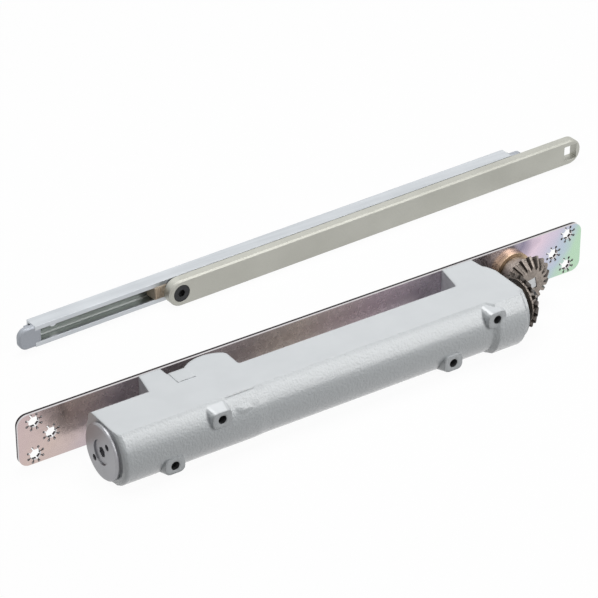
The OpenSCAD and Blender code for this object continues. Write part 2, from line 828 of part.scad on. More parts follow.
module at_balls() {
    x = house_r - wall_deep - thrust_len / 2;
    for (i = [0 : ball_count - 1])
        translate([x, axis_y, 0]) rotate([i * 360 / ball_count, 0, 0])
            translate([0, ball_ring_r, 0]) children();
}

module thrust_cage() {
    x = house_r - wall_deep - thrust_len / 2;
    color(bronze) difference() {
        tube_x(x - 0.8, x + 0.8, bore_r - 1, shaft_r + 0.25);
        at_balls() rotate([0, 90, 0]) cylinder(h = 4, r = ball_r + 0.06, center = true, $fn = 36);
    }
}

module thrust_balls() {
    color(steel) at_balls() sphere(r = ball_r, $fn = 36);
}

module shaft_bush() {
    from = house_r - wall_deep + 1;
    to = house_r - seal_bore_deep - 1;
    color(bronze) tube_x(from, to, bush_out_r, shaft_r + run_gap);
}

module shaft_seal() {
    from = house_r - seal_from - seal_t;
    color(black) difference() {
        bar_x(from, from + seal_t, seal_bore_r - lay_gap);
        bar_x(from - cut, from + seal_t + cut, shaft_r + run_gap);
        tube_x(from + seal_t - 2.5, from + seal_t + cut, seal_bore_r - 1.4, shaft_r + 1.2);
    }
}

module seal_clip() {
    color(steel) translate([house_r - clip_from - clip_t, axis_y, 0]) rotate([0, 90, 0])
        clip(8.6, clip_r, clip_t);
}

// Tooth flank on the back cone: real angle, from the tooth's middle, at cone radius r
function involute(r) = r <= base_r ? 0 : let (a = acos(base_r / r)) tan(a) * 180 / PI - a;
function half_tooth(r) = (90 / cone_teeth + involute(cone_r) - involute(r)) * sqrt(2)
    - gear_backlash / 2 / r * 180 / PI * sqrt(2);
// A point of the gear, in the frame of its own axis, with the pitch cone's tip at the origin
function cone_point(r, a) = [r * cos(45) * cos(a), r * cos(45) * sin(a), 2 * gear_pitch_r - r * sin(45)];
function tooth_side(i) = cone_r - gear_ded + (gear_add + gear_ded) * i / flank_steps;
function tooth_points() = [
    for (tooth = [0 : gear_teeth - 1], side = [-1, 1], i = [0 : flank_steps])
        let (k = side < 0 ? i : flank_steps - i, r = tooth_side(k))
        cone_point(r, tooth * 360 / gear_teeth + side * half_tooth(r))
];

// Toothed cone of one mitre gear, its pitch cone's tip at the origin, along +Z
module gear_teeth_ring() {
    outer = tooth_points();
    n = len(outer);
    inner = [for (p = outer) p * gear_front / p[2]];
    points = concat(outer, inner, [[0, 0, gear_back], [0, 0, gear_front]]);
    faces = concat(
        [for (i = [0 : n - 1]) [2 * n, (i + 1) % n, i]],
        [for (i = [0 : n - 1]) [2 * n + 1, n + i, n + (i + 1) % n]],
        [for (i = [0 : n - 1]) [i, (i + 1) % n, n + (i + 1) % n]],
        [for (i = [0 : n - 1]) [i, n + (i + 1) % n, n + i]]
    );
    polyhedron(points, faces);
}

// Square bar along its own Z
module square_bar(side, h) {
    translate([-side / 2, -side / 2, 0]) cube([side, side, h]);
}

// Turns a piece of the spindle to where it rests, about its own axis
module at_spindle(y, turn = 0) {
    translate([0, y, 0]) rotate([-90, 0, 0]) rotate(-gear_turn - turn) children();
}

module mitre_gear(hub_r, hub_to) {
    gear_teeth_ring();
    translate([0, 0, gear_back - 1]) cylinder(h = 1.2, r = gear_rim_r);
    translate([0, 0, gear_back - 1]) cylinder(h = hub_to - gear_back + 1, r = hub_r);
}

module at_shaft_gear() {
    translate([-shaft_gear_back, axis_y, 0]) children();
}

module shaft_gear() {
    seat = gear_back + shaft_hub_len;
    color(sintered) at_shaft_gear() difference() {
        rotate([0, -90, 0]) rotate(90 + 180 / gear_teeth + gear_turn)
            mitre_gear(shaft_hub_r, seat);
        translate([-seat - cut, 0, 0]) rotate([0, 90, 0])
            cylinder(h = seat, r = shaft_tip_r + lay_gap);
        translate([-seat - cut, key_from, -key_w / 2 - lay_gap])
            cube([seat, key_w + 0.2, key_w + 2 * lay_gap]);
    }
}

module gear_key() {
    back_end = gear_back + shaft_hub_len - 0.5;
    color(steel) at_shaft_gear() translate([-back_end, key_from + lay_gap, -key_w / 2])
        cube([back_end - gear_front - 1, key_w, key_w]);
}

module gear_washer() {
    color(steel) at_shaft_gear() translate([0, -axis_y, 0])
        tube_x(-gear_front + 0.1, -gear_front + 1.1, gear_washer_r, gear_thread_r + 0.6);
}

module gear_screw() {
    tip = -gear_front - 1;
    color(black) at_shaft_gear() difference() {
        translate([0, -axis_y, 0]) {
            bar_x(tip - gear_thread_deep + 2, -gear_front + 1.2, gear_thread_r - run_gap);
            bar_x(-gear_front + 1.15, -gear_front + 4.6, 4);
        }
        translate([-gear_front + 2.4, 0, 0]) rotate([0, 90, 0]) hex_bar(3, 4);
    }
}

module spindle_gear() {
    hub_top = plate_in - bush_flange_t - side_gap - axis_y;
    color(sintered) difference() {
        at_spindle(axis_y + spindle_gear_back)
            mitre_gear(spindle_hub_d / 2, hub_top - spindle_gear_back);
        at_spindle(axis_y, gear_square_turn) square_bar(gear_square, axis_depth);
    }
}

module spindle() {
    inner_end = axis_y + spindle_gear_back + gear_front + 0.5;
    shoulder = plate_in - bush_flange_t - side_gap;
    inner = gear_square - 2 * lay_gap;
    color(steel) difference() {
        union() {
            at_spindle(inner_end, gear_square_turn) square_bar(inner, shoulder - inner_end + 0.1);
            bar_y(0, shoulder + lay_gap, 1.4, spindle_d / 2);
            at_spindle(1) square_bar(drive_square, drive_height - 1);
        }
        bar_y(0, drive_height - drive_hole_deep, drive_height + cut, drive_hole_d / 2);
        difference() {
            bar_y(0, 0.15, 1.25, spindle_d / 2 + cut);
            bar_y(0, 0, 2, spindle_d / 2 - 0.6);
        }
    }
}

module spindle_bush() {
    color(bronze) difference() {
        union() {
            bar_y(0, plate_in - bush_flange_t, plate_in - lay_gap, bush_flange_d / 2);
            bar_y(0, plate_in - 0.5, -lay_gap, spindle_d / 2 + 2);
        }
        bar_y(0, plate_in - bush_flange_t - cut, cut, spindle_d / 2 + run_gap);
    }
}

module spindle_clip() {
    color(steel) translate([0, 0.2, 0]) rotate([-90, 0, 0])
        clip(spindle_d / 2 - 0.55, spindle_d / 2 + 1.6, 1);
}

module valve(side) {
    top = plate_in - hump_gap - 0.4;
    color(bronze) difference() {
        union() {
            bar_y(valve_x(side), top - valve_len + 3, top, valve_r);
            translate([valve_x(side), top - valve_len + 0.7, 0]) rotate([-90, 0, 0])
                cylinder(h = 2.4, r1 = 0.8, r2 = 2);
        }
        translate([valve_x(side) - valve_r - cut, top - 1.2, -0.5])
            cube([2 * (valve_r + cut), 1.2 + cut, 1]);
        difference() {
            bar_y(valve_x(side), top - 4.6, top - 3.4, valve_r + cut);
            bar_y(valve_x(side), top - 5, top - 3, valve_r - 0.9);
        }
    }
}

module valve_ring(side) {
    top = plate_in - hump_gap - 0.4;
    color(black) ring_y(valve_x(side), top - 4, valve_r - 0.45, 0.42);
}

module closing_valve() valve(-1);
module closing_valve_ring() valve_ring(-1);
module latching_valve() valve(1);
module latching_valve_ring() valve_ring(1);

// Puts a piece of the arm set where the set lies
module in_arm_set() {
    translate([arm_set_x, arm_set_y, arm_set_z]) rotate([0, 0, arm_set_turn]) children();
}

// Round bar of the arm set, front to back
module pivot_bar(u, from, to, r) {
    translate([u, from, 0]) rotate([-90, 0, 0]) cylinder(h = to - from, r = r);
}

// Section of the track, as [back, up]
module track_section() {
    corner = 0.7;
    difference() {
        translate([track_back, -track_h / 2]) square([track_d, track_h]);
        polygon([
            [track_back + track_wall, -channel_top],
            [track_back + track_wall, channel_top],
            [channel_rear - corner, channel_top],
            [channel_rear, channel_top - corner],
            [channel_rear, corner - channel_top],
            [channel_rear - corner, -channel_top]
        ]);
        translate([track_back - cut, -slot_h / 2]) square([track_wall + 2 * cut, slot_h]);
    }
}

// Sets a flat section given as [back, up] along the arm set's length
module along_set(from, to) {
    translate([from, 0, 0]) rotate([90, 0, 90]) linear_extrude(to - from) children();
}

module track() {
    color(silver) in_arm_set() difference() {
        along_set(track_l, track_r) track_section();
        for (u = [track_l + track_hole_from, track_r - track_hole_from])
            pivot_bar(u, channel_rear - cut, track_rear + cut, track_hole_d / 2);
    }
}

// End cap with a round front tab and a tongue in the track's channel
module end_cap(end) {
    edge = end < 0 ? track_l : track_r;
    r = track_h / 2;
    round_z = r - cap_round;
    mid = edge + end * (cap_out - cap_round);
    near = edge + end * lay_gap;
    tip = edge + end * cap_out;
    from = end < 0 ? edge - cap_root : edge - cap_tongue;
    color(grey) in_arm_set() {
        translate([0, track_back + cap_t, 0]) rotate([90, 0, 0]) linear_extrude(cap_t - cap_bevel) {
            for (side = [-1, 1]) translate([mid, side * round_z]) circle(r = cap_round);
            translate([min(mid, near), -r]) square([abs(near - mid), track_h]);
            translate([min(mid, tip), -round_z]) square([cap_round, 2 * round_z]);
        }
        for (side = [-1, 1]) translate([mid, track_back, side * round_z]) rotate([-90, 0, 0])
            cylinder(h = cap_bevel, r1 = cap_round - cap_bevel, r2 = cap_round);
        along_set(min(mid, near), max(mid, near))
            polygon([[track_back, -r + cap_bevel], [track_back, r - cap_bevel],
                     [track_back + cap_bevel, r], [track_back + cap_bevel, -r]]);
        translate([0, 0, -round_z]) linear_extrude(2 * round_z)
            polygon([[mid, track_back], [tip - end * cap_bevel, track_back],
                     [tip, track_back + cap_bevel], [mid, track_back + cap_bevel]]);
        translate([from, track_back, -slot_h / 2 + side_gap])
            cube([cap_tongue + cap_root, track_wall + weld, slot_h - 2 * side_gap]);
        translate([from, track_back + track_wall + side_gap, -channel_top + cap_play])
            cube([cap_tongue + cap_root, channel_deep, 2 * (channel_top - cap_play)]);
    }
}

module track_end_caps() {
    end_cap(-1);
    end_cap(1);
}

module slider() {
    half = slider_len / 2;
    color(beige) in_arm_set() difference() {
        union() {
            translate([-half, slider_front, -slot_h / 2 + side_gap])
                cube([slider_len, track_wall + 2 * weld, slot_h - 2 * side_gap]);
            translate([-half, track_back + track_wall + side_gap, -channel_top + slider_play])
                cube([slider_len, channel_deep, 2 * (channel_top - slider_play)]);
        }
        pivot_bar(0, slider_front - cut, channel_rear + cut, insert_r + lay_gap);
    }
}

module slider_insert() {
    color(steel) in_arm_set() difference() {
        pivot_bar(0, slider_front, channel_rear - insert_play, insert_r);
        pivot_bar(0, slider_front - cut, channel_rear, pivot_thread_r + run_gap);
    }
}

// Front view of the arm, grown inwards by inset
module arm_outline(inset) {
    r = arm_w / 2 - inset;
    circle(r = r);
    translate([arm_len, 0]) circle(r = r);
    translate([0, -r]) square([arm_len, 2 * r]);
}

// Bevelled slab of the arm with its round ends
module arm_slab() {
    r = arm_w / 2;
    translate([0, arm_t, 0]) rotate([90, 0, 0]) linear_extrude(arm_t - arm_bevel) arm_outline(0);
    for (u = [0, arm_len])
        translate([u, 0, 0]) rotate([-90, 0, 0]) cylinder(h = arm_bevel, r1 = r - arm_bevel, r2 = r);
    translate([0, 0, 0]) along_set(0, arm_len)
        polygon([[0, -r + arm_bevel], [0, r - arm_bevel], [arm_bevel, r], [arm_bevel, -r]]);
}

module arm() {
    half = arm_square / 2;
    color(champagne) in_arm_set() difference() {
        arm_slab();
        pivot_bar(0, -cut, pivot_head_t + 0.2, pivot_head_r + 0.15);
        pivot_bar(0, 0, arm_t + cut, arm_bush_r + lay_gap);
        translate([arm_len - half, -cut, -half]) cube([arm_square, arm_t + 2 * cut, arm_square]);
    }
}

module arm_bush() {
    color(black) in_arm_set() difference() {
        pivot_bar(0, pivot_head_t + 0.3, arm_t - lay_gap, arm_bush_r);
        pivot_bar(0, 0, arm_t + cut, pivot_shoulder_r + run_gap);
    }
}

module pivot_screw() {
    color(black) in_arm_set() difference() {
        union() {
            pivot_bar(0, 0.2, pivot_head_t + 0.1, pivot_head_r);
            pivot_bar(0, pivot_head_t, arm_t + washer_t + 0.05, pivot_shoulder_r);
            pivot_bar(0, arm_t, channel_rear - 0.5, pivot_thread_r);
        }
        translate([0, -cut, 0]) rotate([-90, 0, 0]) hex_bar(4.2, cut + 2.6);
    }
}

module pivot_washer() {
    color(steel) in_arm_set() difference() {
        pivot_bar(0, arm_t + 0.05, arm_t + washer_t, pivot_washer_r);
        pivot_bar(0, arm_t - cut, track_back, pivot_shoulder_r + run_gap);
    }
}

mounting_plate();
housing();
housing_screws();
end_plug();
end_plug_ring();
adjusting_screw();
adjusting_screw_ring();
adjusting_screw_clip();
spring_seat();
main_spring();
piston();
piston_seal();
check_ball();
guide_pins();
cam_roller_plate_side();
cam_roller_nose_side();
cam_drum();
cam_shaft();
thrust_race_shaft();
thrust_race_housing();
thrust_cage();
thrust_balls();
shaft_bush();
shaft_seal();
seal_clip();
shaft_gear();
gear_key();
gear_washer();
gear_screw();
spindle_gear();
spindle();
spindle_bush();
spindle_clip();
closing_valve();
closing_valve_ring();
latching_valve();
latching_valve_ring();
track();
track_end_caps();
slider();
slider_insert();
arm();
arm_bush();
pivot_screw();
pivot_washer();
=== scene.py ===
import json
import math

import bmesh
import bpy
from mathutils import Matrix, Vector
from mathutils.bvhtree import BVHTree


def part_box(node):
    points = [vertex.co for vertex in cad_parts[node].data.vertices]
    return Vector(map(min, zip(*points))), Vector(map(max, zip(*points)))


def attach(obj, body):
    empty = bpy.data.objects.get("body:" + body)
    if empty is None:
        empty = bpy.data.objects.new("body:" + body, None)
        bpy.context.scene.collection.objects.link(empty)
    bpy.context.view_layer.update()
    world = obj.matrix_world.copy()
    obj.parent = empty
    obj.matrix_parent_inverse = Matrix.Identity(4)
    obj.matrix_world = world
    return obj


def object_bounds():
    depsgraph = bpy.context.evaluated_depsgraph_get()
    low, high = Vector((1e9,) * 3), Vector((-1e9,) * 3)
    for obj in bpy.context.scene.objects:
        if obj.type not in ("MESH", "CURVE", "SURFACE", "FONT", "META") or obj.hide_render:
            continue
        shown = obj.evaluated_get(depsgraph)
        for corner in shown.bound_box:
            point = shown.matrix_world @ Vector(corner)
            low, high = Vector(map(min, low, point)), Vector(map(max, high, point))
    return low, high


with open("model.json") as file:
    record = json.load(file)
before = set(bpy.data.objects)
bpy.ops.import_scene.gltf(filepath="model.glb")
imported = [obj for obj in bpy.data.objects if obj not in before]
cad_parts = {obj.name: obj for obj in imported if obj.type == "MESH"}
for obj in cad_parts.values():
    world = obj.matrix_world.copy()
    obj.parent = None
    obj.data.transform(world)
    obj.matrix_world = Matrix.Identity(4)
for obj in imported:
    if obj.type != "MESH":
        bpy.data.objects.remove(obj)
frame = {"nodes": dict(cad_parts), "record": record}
nodes = frame["nodes"]
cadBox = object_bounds()
print("frame loaded:", len(nodes), "nodes")


photoView = {
    "place": (-0.8943, -1.1338, 0.8627),  # metres, spindle axis at the plate's outer face is zero
    "turn": 33.57,  # degrees to the left of straight on
    "height": 31.55,  # degrees above level
    "roll": 0.06,
    "lens": 178.4,
    "sensor": 36,
    "farthest": 20,
}


def makeCamera(view):
    data = bpy.data.cameras.new("photoCamera")
    data.lens = view["lens"]
    data.sensor_width = view["sensor"]
    data.clip_end = view["farthest"]
    cam = bpy.data.objects.new("photoCamera", data)
    bpy.context.scene.collection.objects.link(cam)
    turn, height, roll = (math.radians(view[k]) for k in ("turn", "height", "roll"))
    right = Vector((math.cos(turn), -math.sin(turn), 0))
    level = math.cos(height)
    back = Vector((-math.sin(turn) * level, -math.cos(turn) * level, math.sin(height)))
    up = back.cross(right)
    tiltedRight = right * math.cos(roll) + up * math.sin(roll)
    tiltedUp = up * math.cos(roll) - right * math.sin(roll)
    facing = Matrix((tiltedRight, tiltedUp, back)).transposed().to_4x4()
    cam.matrix_world = Matrix.Translation(view["place"]) @ facing
    bpy.context.scene.camera = cam


makeCamera(photoView)


def newMaterial(name):
    mat = bpy.data.materials.new(name)
    mat.use_nodes = True
    tree = mat.node_tree
    shader = tree.nodes["Principled BSDF"]
    where = tree.nodes.new("ShaderNodeTexCoord").outputs["Object"]
    return mat, tree, shader, where


def addNoise(tree, where, scale, detail=2.0, roughness=0.5, stretch=(1, 1, 1)):
    # scale is in repeats a metre
    mapping = tree.nodes.new("ShaderNodeMapping")
    mapping.inputs["Scale"].default_value = stretch
    tree.links.new(where, mapping.inputs["Vector"])
    noise = tree.nodes.new("ShaderNodeTexNoise")
    noise.inputs["Scale"].default_value = scale
    noise.inputs["Detail"].default_value = detail
    noise.inputs["Roughness"].default_value = roughness
    tree.links.new(mapping.outputs[0], noise.inputs["Vector"])
    return noise.outputs["Fac"]


def addRamp(tree, value, stops):
    ramp = tree.nodes.new("ShaderNodeValToRGB")
    elements = ramp.color_ramp.elements
    while len(elements) < len(stops):
        elements.new(0.5)
    for element, (place, colour) in zip(elements, stops):
        element.position = place
        element.color = (*colour, 1)
    tree.links.new(value, ramp.inputs[0])
    return ramp.outputs["Color"]


def addRange(tree, value, low, high, fromLow=0.3, fromHigh=0.7):
    # the value's way from fromLow to fromHigh becomes a way from low to high, held at both ends
    node = tree.nodes.new("ShaderNodeMapRange")
    limits = {"From Min": fromLow, "From Max": fromHigh, "To Min": low, "To Max": high}
    for key, number in limits.items():
        node.inputs[key].default_value = number
    tree.links.new(value, node.inputs["Value"])
    return node.outputs["Result"]


def addBump(tree, height, distance, strength, shader, edge=None):
    # edge rounds the look of sharp corners, in metres
    bump = tree.nodes.new("ShaderNodeBump")
    bump.inputs["Strength"].default_value = strength
    bump.inputs["Distance"].default_value = distance
    tree.links.new(height, bump.inputs["Height"])
    if edge:
        bevel = tree.nodes.new("ShaderNodeBevel")
        bevel.samples = 4
        bevel.inputs["Radius"].default_value = edge
        tree.links.new(bevel.outputs["Normal"], bump.inputs["Normal"])
    tree.links.new(bump.outputs["Normal"], shader.inputs["Normal"])


def addMath(tree, kind, first, second):
    node = tree.nodes.new("ShaderNodeMath")
    node.operation = kind
    for place, value in enumerate((first, second)):
        if isinstance(value, (int, float)):
            node.inputs[place].default_value = value
        else:
            tree.links.new(value, node.inputs[place])
    return node.outputs[0]


def addSize(tree, value):
    # the value without its sign
    return addMath(tree, "ABSOLUTE", value, 0.0)


def addVector(tree, kind, *values, result="Vector"):
    node = tree.nodes.new("ShaderNodeVectorMath")
    node.operation = kind
    for place, value in enumerate(values):
        if isinstance(value, (tuple, Vector)):
            node.inputs[place].default_value = value
        else:
            tree.links.new(value, node.inputs[place])
    return node.outputs[result]


def addAxis(tree, vector, direction):
    # how far a place or a normal reaches along one direction
    return addVector(tree, "DOT_PRODUCT", vector, direction, result="Value")


def addNormal(tree):
    # in the piece's own frame, so that it turns with the piece
    return tree.nodes.new("ShaderNodeTexCoord").outputs["Normal"]


def addMix(tree, share, first, second):
    node = tree.nodes.new("ShaderNodeMix")
    node.data_type = "RGBA"
    tree.links.new(share, node.inputs["Factor"])
    for name, value in (("A", first), ("B", second)):
        socket = next(k for k in node.inputs if k.name == name and k.type == "RGBA")
        if isinstance(value, tuple):
            socket.default_value = (*value, 1)
        else:
            tree.links.new(value, socket)
    return next(k for k in node.outputs if k.type == "RGBA")


def setShader(shader, values):
    for key, number in values.get("shader", {}).items():
        shader.inputs[key].default_value = number


# each finish: plain colours and a few numbers, all in linear colour and metres
castSilver = {
    "light": (0.675, 0.705, 0.725),
    "dark": (0.645, 0.675, 0.695),
    "skin": (0.60, 0.63, 0.645),  # the unmachined round nose, its darker colour painted shade
    "roughness": (0.34, 0.46),
    "pebbleScale": 760,
    "pebbleDepth": 0.00045,
    "cloudScale": 60,
    "skinFrom": (0.90, 0.985),  # how upright a face is where the machined flat takes over
    "edge": 0.0022,
    "shader": {"Coat Weight": 1.0, "Coat Roughness": 0.24, "Coat IOR": 1.7},
}


def makeCastSilver(values):
    mat, tree, shader, where = newMaterial("castSilver")
    setShader(shader, values)
    fine = addNoise(tree, where, values["pebbleScale"], 2, 0.5)
    broad = addNoise(tree, where, values["cloudScale"], 2)
    # the flats are machined smooth, the round nose keeps the pebbled skin, whose darker colour is
    # painted shade
    upright = addSize(tree, addAxis(tree, addNormal(tree), (0, 0, 1)))
    skin = addRange(tree, upright, 1.0, 0.0, *values["skinFrom"])
    smooth = addRamp(tree, broad, [(0.35, values["dark"]), (0.65, values["light"])])
    tree.links.new(addMix(tree, skin, smooth, values["skin"]), shader.inputs["Base Color"])
    tree.links.new(addRange(tree, fine, *values["roughness"]), shader.inputs["Roughness"])
    pebbles = addMath(tree, "MULTIPLY", fine, skin)
    addBump(tree, pebbles, values["pebbleDepth"], 1.0, shader, values["edge"])
    return mat


def makePlain(name, values):
    # a finish with a slightly uneven colour, fine grain and softened edges
    mat, tree, shader, where = newMaterial(name)
    setShader(shader, values)
    stretch = values.get("stretch", (1, 1, 1))
    grain = addNoise(tree, where, values["grain"], 3, 0.6, stretch)
    cloud = addNoise(tree, where, values.get("cloud", 40), 2)
    half = addMath(tree, "MULTIPLY", addMath(tree, "ADD", grain, cloud), 0.5)
    colour = addRamp(tree, half, [(0.38, values["dark"]), (0.62, values["light"])])
    # the masks mix painted shade into the colour, inside the track's slot and on the gears' teeth
    for mask, masked in values.get("masks", ()):
        colour = addMix(tree, mask(tree, where), colour, masked)
    tree.links.new(colour, shader.inputs["Base Color"])
    tree.links.new(addRange(tree, grain, *values["roughness"]), shader.inputs["Roughness"])
    addBump(tree, grain, values["depth"], values.get("strength", 0.5), shader, values.get("edge"))
    return mat


# the arm and track lie turned against the closer, so their depth runs along a turned line
armSet = {
    "turn": 2.0,
    "place": (-0.162, 0.0888),  # the arm's pivot, at the arm's front face
    "slotDepth": (0.0096, 0.0163),  # from the arm's front face
    "slotHalfHeight": 0.0053,
    "nearBlur": 0.0004,
    "blur": 0.0002,
}


def armSetDirection():
    turn = math.radians(armSet["turn"])
    return Vector((math.cos(turn), math.sin(turn), 0)), Vector((-math.sin(turn), math.cos(turn), 0))


# painted shade: a darker colour inside the track's slot, between the depths and heights given in
# armSet
def trackSlotShade(tree, where):
    low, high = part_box("track")
    depthLine = armSetDirection()[1]
    pivot = Vector((*armSet["place"], 0)).dot(depthLine)
    depth = addAxis(tree, where, depthLine)
    near, far = (pivot + d for d in armSet["slotDepth"])
    behind = addRange(tree, depth, 0.0, 1.0, near, near + armSet["nearBlur"])
    before = addRange(tree, depth, 1.0, 0.0, far, far + armSet["blur"])
    level = addMath(tree, "SUBTRACT", addAxis(tree, where, (0, 0, 1)), (low[2] + high[2]) / 2)
    half = armSet["slotHalfHeight"]
    inside = addRange(tree, addSize(tree, level), 1.0, 0.0, half, half + armSet["blur"])
    return addMath(tree, "MULTIPLY", addMath(tree, "MULTIPLY", behind, before), inside)


def facingBack(direction, limits):
    def mask(tree, where):
        return addRange(tree, addAxis(tree, addNormal(tree), direction), 0.0, 1.0, *limits)

    return mask


def onFlanks(axis, centre, limits):
    # the teeth's sides look along the turn round the gear's axis
    def mask(tree, where):
        turn = addVector(tree, "CROSS_PRODUCT", addVector(tree, "SUBTRACT", where, centre), axis)
        turn = addVector(tree, "NORMALIZE", turn)
        facing = addAxis(tree, turn, addNormal(tree))
        return addRange(tree, addSize(tree, facing), 0.0, 1.0, *limits)

    return mask


finishes = {
    "plugZinc": {
        "light": (0.37, 0.37, 0.385),
        "dark": (0.31, 0.31, 0.325),
        "roughness": (0.3, 0.42),
        "grain": 1100,
        "depth": 0.0001,
        "edge": 0.0004,
        "shader": {"Metallic": 0.85},
    },
    "machinedSteel": {
        "light": (0.60, 0.61, 0.62),
        "dark": (0.52, 0.53, 0.54),
        "roughness": (0.28, 0.4),
        "grain": 900,
        "depth": 0.0001,
        "edge": 0.0003,
        "shader": {"Metallic": 0.9},
    },
    "sinteredIron": {
        "light": (0.40, 0.35, 0.31),
        "dark": (0.20, 0.17, 0.15),
        "roughness": (0.35, 0.55),
        "grain": 700,
        "cloud": 120,
        "depth": 0.0003,
        "strength": 0.7,
        "edge": 0.0002,
        "shader": {"Metallic": 0.75},
    },
    "bushBronze": {
        "light": (0.66, 0.50, 0.34),
        "dark": (0.52, 0.38, 0.25),
        "roughness": (0.25, 0.4),
        "grain": 800,
        "depth": 0.0001,
        "edge": 0.0003,
        "shader": {"Metallic": 0.9},
    },
    "blackRubber": {
        "light": (0.03, 0.03, 0.032),
        "dark": (0.018, 0.018, 0.02),
        "roughness": (0.55, 0.7),
        "grain": 1200,
        "depth": 0.0001,
    },
    "blackOxide": {
        "light": (0.045, 0.047, 0.05),
        "dark": (0.02, 0.021, 0.023),
        "roughness": (0.35, 0.5),
        "grain": 1500,
        "depth": 0.00008,
        "edge": 0.0003,
        "shader": {"Metallic": 0.5},
    },
    "trackAluminium": {
        "light": (0.64, 0.67, 0.70),
        "dark": (0.57, 0.60, 0.63),
        # painted shade inside the track's slot
        "masks": [(trackSlotShade, (0.36, 0.385, 0.37))],
        "roughness": (0.3, 0.4),
        "grain": 500,
        "stretch": (0.03, 1, 1),
        "depth": 0.00006,
        "edge": 0.0003,
        "shader": {"Metallic": 0.75},
    },
    "capPlastic": {
        "light": (0.42, 0.445, 0.485),
        "dark": (0.36, 0.385, 0.425),
        "roughness": (0.4, 0.5),
        "grain": 1400,
        "depth": 0.00008,
        "edge": 0.0005,
        "shader": {"Metallic": 0.6},
    },
    "slidePlastic": {
        "light": (0.86, 0.74, 0.59),
        "dark": (0.74, 0.61, 0.46),
        "roughness": (0.4, 0.5),
        "grain": 900,
        "depth": 0.00008,
        "edge": 0.0003,
    },
    "armPaint": {
        "light": (0.50, 0.50, 0.455),
        "dark": (0.45, 0.45, 0.405),
        "roughness": (0.42, 0.5),
        "grain": 1600,
        "depth": 0.00005,
        "edge": 0.0004,
        "shader": {"Metallic": 0.85},
    },
}


zincPlate = {
    "bands": [
        (0.0, (0.58, 0.46, 0.46)),
        (0.06, (0.62, 0.50, 0.46)),
        (0.14, (0.52, 0.44, 0.47)),
        (0.36, (0.50, 0.43, 0.42)),
        (0.45, (0.66, 0.57, 0.52)),
        (0.60, (0.68, 0.56, 0.60)),
        (0.72, (0.62, 0.55, 0.61)),
        (0.80, (0.95, 0.88, 0.95)),
        (0.86, (0.28, 0.25, 0.34)),
        (0.89, (0.76, 0.62, 0.72)),
        (0.93, (0.64, 0.58, 0.70)),
        (0.96, (0.50, 0.58, 0.68)),
        (0.98, (0.50, 0.64, 0.60)),
        (1.0, (0.50, 0.70, 0.52)),
    ],
    # painted shade on the plate's cut edges and the holes' walls
    "edgeShade": (0.035, 0.028, 0.03),
    "rimHighlight": (0.62, 0.60, 0.61),  # a painted highlight along the edge's corner, on the body's side
    "rimHighlightWidth": 0.001,
    "wander": 0.022,
    "wanderScale": 30,
    "slant": 0.03,
    "sideFrom": (0.4, 0.6),  # how squarely a face looks along the depth where the cut side begins
    "roughness": (0.2, 0.32),
    "grain": 300,
    "grainDepth": 0.00006,
}


def makeZincPlate(values):
    # passivated zinc: the tint runs along the plate, slants across it and wanders with a slow noise
    mat, tree, shader, where = newMaterial("zincPlate")
    shader.inputs["Metallic"].default_value = 1.0
    low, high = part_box("mounting_plate")
    along = addRange(tree, addAxis(tree, where, (1, 0, 0)), 0.0, 1.0, low[0], high[0])
    height, slant = addAxis(tree, where, (0, 0, 1)), values["slant"]
    across = addRange(tree, height, slant, -slant, low[2], high[2])
    drift = addNoise(tree, where, values["wanderScale"], 3, 0.6)
    shift = addRange(tree, drift, -values["wander"], values["wander"])
    place = addMath(tree, "ADD", addMath(tree, "ADD", along, across), shift)
    tint = addRamp(tree, place, values["bands"])
    # painted shade: the sheared edges and the holes' walls are darkened, with a painted highlight
    # along their corner on the body's side
    facing = addSize(tree, addAxis(tree, addNormal(tree), (0, 1, 0)))
    edge = addRange(tree, facing, 1.0, 0.0, *values["sideFrom"])
    depth, width = addAxis(tree, where, (0, 1, 0)), values["rimHighlightWidth"]
    rim = addRange(tree, depth, 1.0, 0.0, low[1] + width, low[1] + 1.2 * width)
    side = addMix(tree, rim, values["edgeShade"], values["rimHighlight"])
    tree.links.new(addMix(tree, edge, tint, side), shader.inputs["Base Color"])
    fine = addNoise(tree, where, values["grain"], 3)
    tree.links.new(addRange(tree, fine, *values["roughness"]), shader.inputs["Roughness"])
    addBump(tree, fine, values["grainDepth"], 0.3, shader)
    return mat


# painted shade: the gears' tooth flanks are darkened where shade falls between the teeth, and their
# backs are darkened as the shadowed gap by the housing
gearShade = {
    "back": (0.1, 0.09, 0.08),
    "backFrom": (0.85, 0.95),
    "flank": (0.11, 0.095, 0.085),
    "flankFrom": (0.4, 0.7),
    "axisPlace": (0.0, -0.0325, 0.0),  # where the gears' axes cross
    "gears": {
        # axis and the way the back looks
        "shaftGearIron": ((1, 0, 0), (-1, 0, 0)),
        "spindleGearIron": ((0, 1, 0), (0, 1, 0)),
    },
}
for name, (axis, back) in gearShade["gears"].items():
    flank = onFlanks(axis, gearShade["axisPlace"], gearShade["flankFrom"])
    backShade = facingBack(back, gearShade["backFrom"])
    masks = [(flank, gearShade["flank"]), (backShade, gearShade["back"])]
    finishes[name] = {**finishes["sinteredIron"], "masks": masks}
# painted shade: the lug holes' threads take a near-black colour that stands for the shade inside
# the holes
finishes["paintedThreadShade"] = {
    **finishes["blackOxide"],
    "light": (0.05, 0.052, 0.055),
    "dark": (0.02, 0.02, 0.022),
}
materials = {name: makePlain(name, values) for name, values in finishes.items()}
materials["castSilver"] = makeCastSilver(castSilver)
materials["castMark"] = makeCastSilver({**castSilver, "edge": 0.0002})
materials["zincPlate"] = makeZincPlate(zincPlate)

